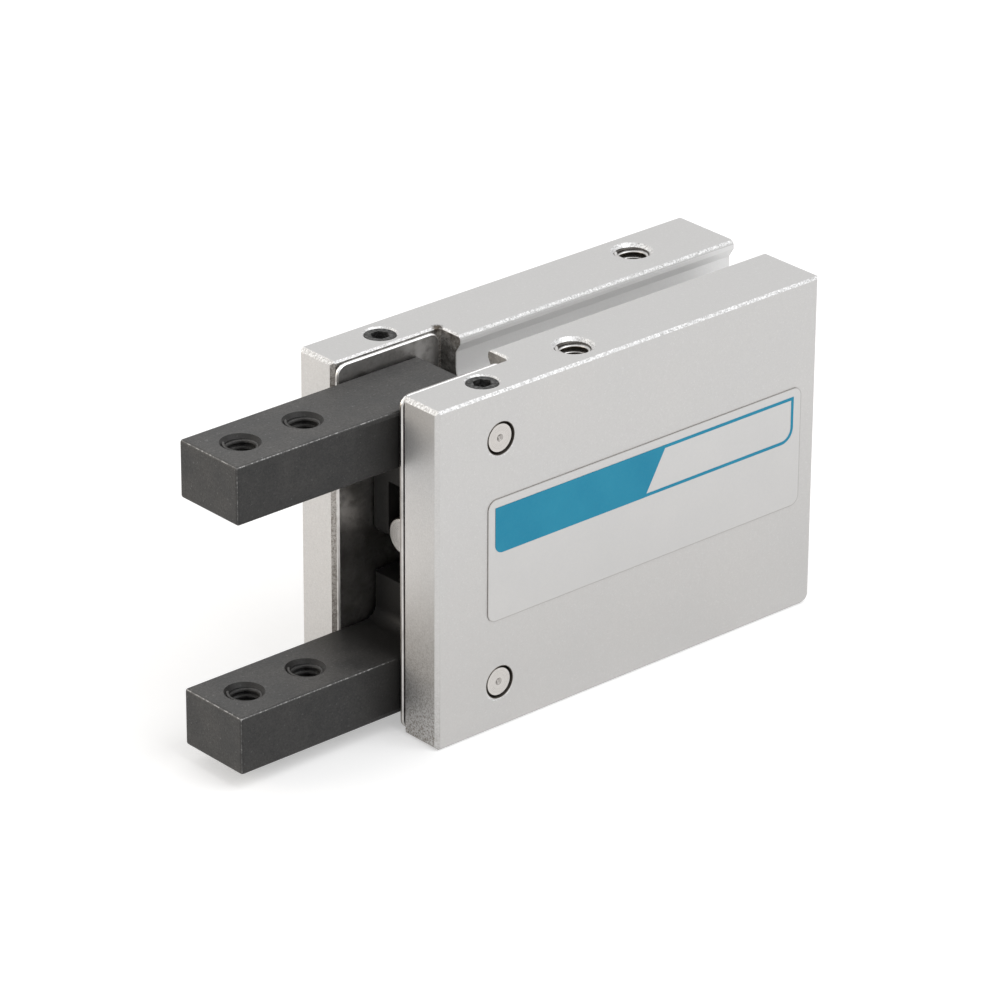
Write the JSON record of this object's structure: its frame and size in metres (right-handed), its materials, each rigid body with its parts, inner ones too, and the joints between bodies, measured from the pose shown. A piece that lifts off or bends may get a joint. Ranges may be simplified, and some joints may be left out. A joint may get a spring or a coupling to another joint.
{
  "type": "pneumatic angular gripper",
  "caption": "Flat aluminium block with a small double-acting cylinder that swings square steel fingers open and shut about pins between its cheeks.",
  "frame": {"origin": "centre of the rear mounting face, on the piston's axis", "axes": "+X out of the rear face, fingers to -X; +Z the way the upper finger opens; -Y out of the labelled side"},
  "size_m": [0.0534, 0.0157, 0.0276],
  "materials": {
    "anodised_aluminium": "bead-blasted, clear anodised",
    "piston_aluminium": "turned",
    "blackened_steel": "black oxide, matt",
    "liner_steel": "rolled",
    "ground_steel": "ground and turned",
    "screw_steel": "black oxide",
    "bronze": "sintered",
    "rubber": "moulded",
    "magnet": "pressed ferrite",
    "label_film": "printed film"
  },
  "bodies": {
    "block": {"body": "anodised_aluminium", "near_liner": "liner_steel", "far_liner": "liner_steel", "upper_pivot_pin": "ground_steel", "lower_pivot_pin": "ground_steel", "set_screws": "screw_steel", "rod_bush": "bronze", "rod_seal": "rubber", "seal_washer": "liner_steel", "front_bumper": "rubber", "rear_bumper": "rubber", "end_cap": "piston_aluminium", "cap_o_ring": "rubber", "retaining_ring": "blackened_steel", "label": "label_film"},
    "upper_jaw": {"upper_finger": "blackened_steel"},
    "lower_jaw": {"lower_finger": "blackened_steel"},
    "piston_set": {"piston": "piston_aluminium", "piston_seal": "rubber", "magnet_ring": "magnet", "piston_rod": "ground_steel", "drive_pin": "ground_steel"}
  },
  "joints": [
    {"name": "piston_slide", "type": "slide", "parent": "block", "child": "piston_set", "axis": [-1, 0, 0], "range_m": [-0.00089, 0.00266]},
    {"name": "upper_finger_hinge", "type": "hinge", "parent": "block", "child": "upper_jaw", "pos_m": [-0.03235, 0, 0.01], "axis": [0, 1, 0], "range_deg": [-5, 15]},
    {"name": "lower_finger_hinge", "type": "hinge", "parent": "block", "child": "lower_jaw", "pos_m": [-0.03235, 0, -0.01], "axis": [0, -1, 0], "range_deg": [-5, 15]}
  ],
  "couplings": [
    {"joint": "upper_finger_hinge", "follows": "piston_slide", "rad_per_m": 98.522},
    {"joint": "lower_finger_hinge", "follows": "piston_slide", "rad_per_m": 98.522}
  ]
}
